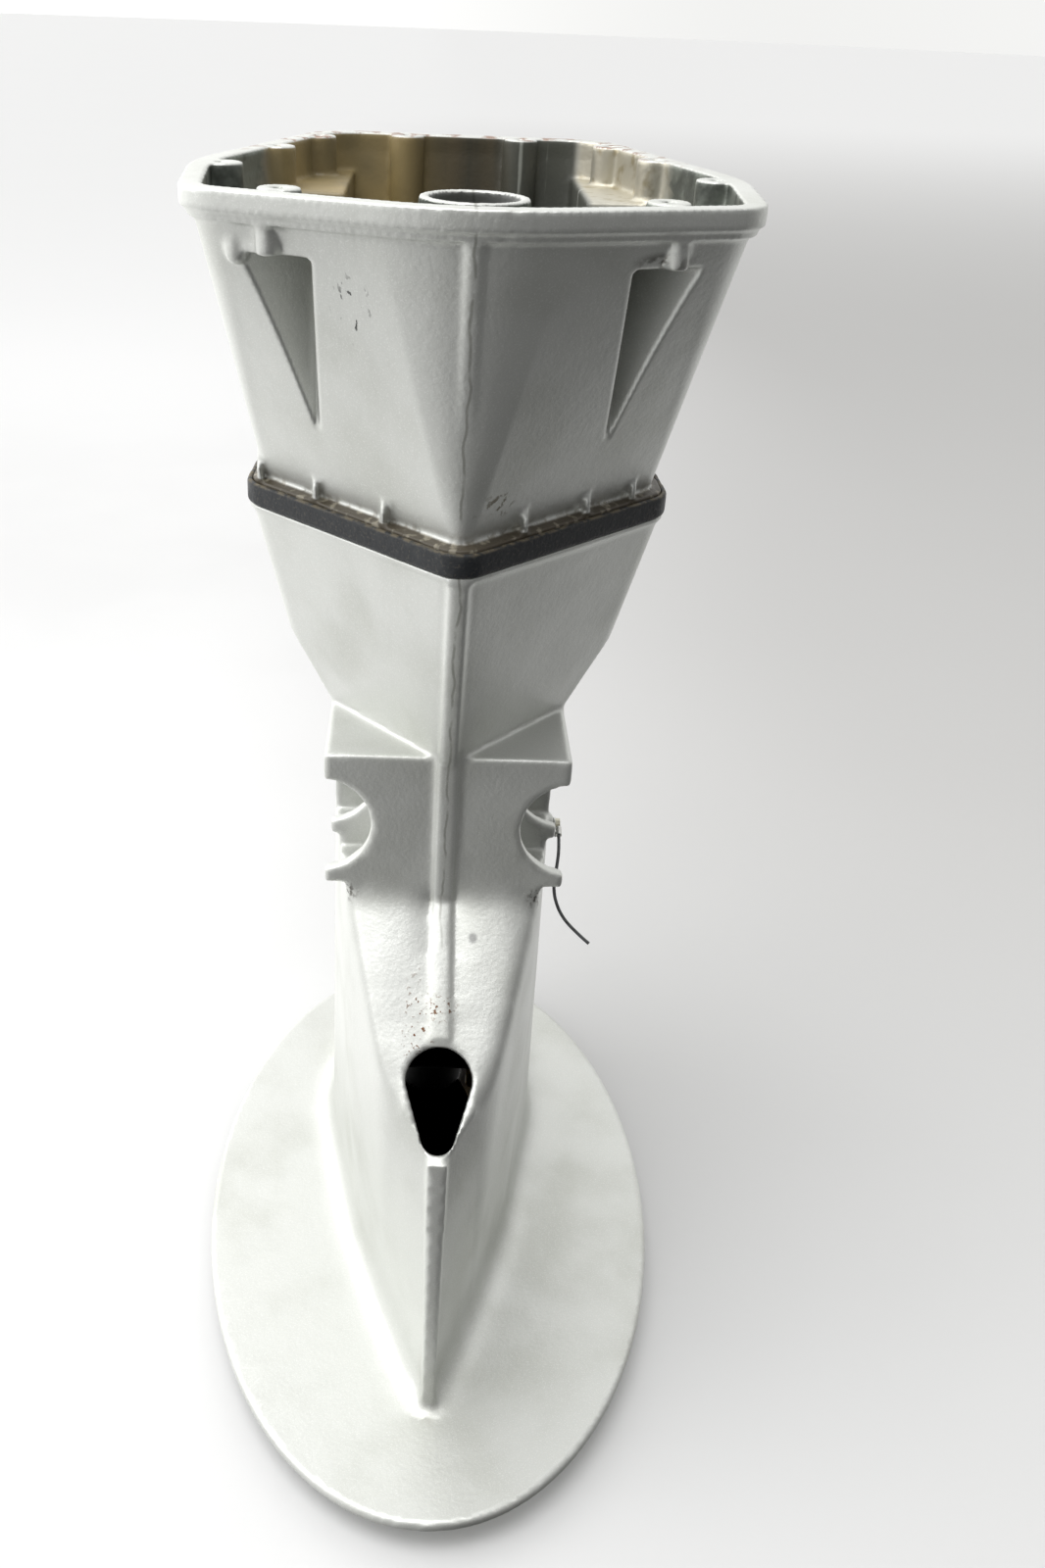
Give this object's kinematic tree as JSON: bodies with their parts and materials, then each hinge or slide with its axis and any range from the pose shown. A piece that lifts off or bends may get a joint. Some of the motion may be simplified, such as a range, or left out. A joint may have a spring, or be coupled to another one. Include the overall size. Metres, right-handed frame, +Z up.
{
  "type": "outboard motor midsection housing",
  "caption": "Drive-shaft housing of an outboard motor: flared oil case on a hollow leg with a splash plate, rubber joint strip, mount pockets and an exhaust outlet.",
  "frame": {"origin": "centre of the splash plate's outline, on the surface that the gearcase face stands on", "axes": "+Z up along the leg, -Y to the rear (exhaust outlet), +Y to the front (boat), X across"},
  "size_m": [0.286, 0.49, 0.653],
  "materials": {
    "silver_casting": "metallic silver paint over die-cast aluminium, satin",
    "black_rubber": "matt, dusty",
    "gasket_sheet": "pressed fibre sheet, matt",
    "plated_steel": "zinc plated, dull",
    "plain_steel": "ground",
    "exhaust_casting": "sooted cast metal",
    "tube_brass": "tarnished tube",
    "drain_copper": "soft copper washer",
    "bush_plastic": "moulded bearing plastic",
    "grey_insulation": "extruded wire insulation, soft sheen",
    "tinned_terminal": "tinned copper"
  },
  "bodies": {
    "root": {"extension_case": "silver_casting", "oil_case": "silver_casting", "joint_gasket": "gasket_sheet", "seal_strip": "black_rubber", "joint_bolts": "plated_steel", "joint_dowels": "plain_steel", "exhaust_pipe": "exhaust_casting", "exhaust_pipe_gasket": "gasket_sheet", "exhaust_pipe_bolts": "plated_steel", "water_tube": "tube_brass", "water_tube_floor_grommet": "black_rubber", "water_tube_lower_grommet": "black_rubber", "water_tube_top_seal": "black_rubber", "drive_shaft_bush": "bush_plastic", "bush_retaining_ring": "plain_steel", "drive_shaft_oil_seal": "black_rubber", "oil_drain_plug": "plated_steel", "oil_drain_washer": "drain_copper", "bonding_lead": "grey_insulation", "lead_terminal": "tinned_terminal", "lead_screw": "plated_steel"}
  },
  "joints": []
}
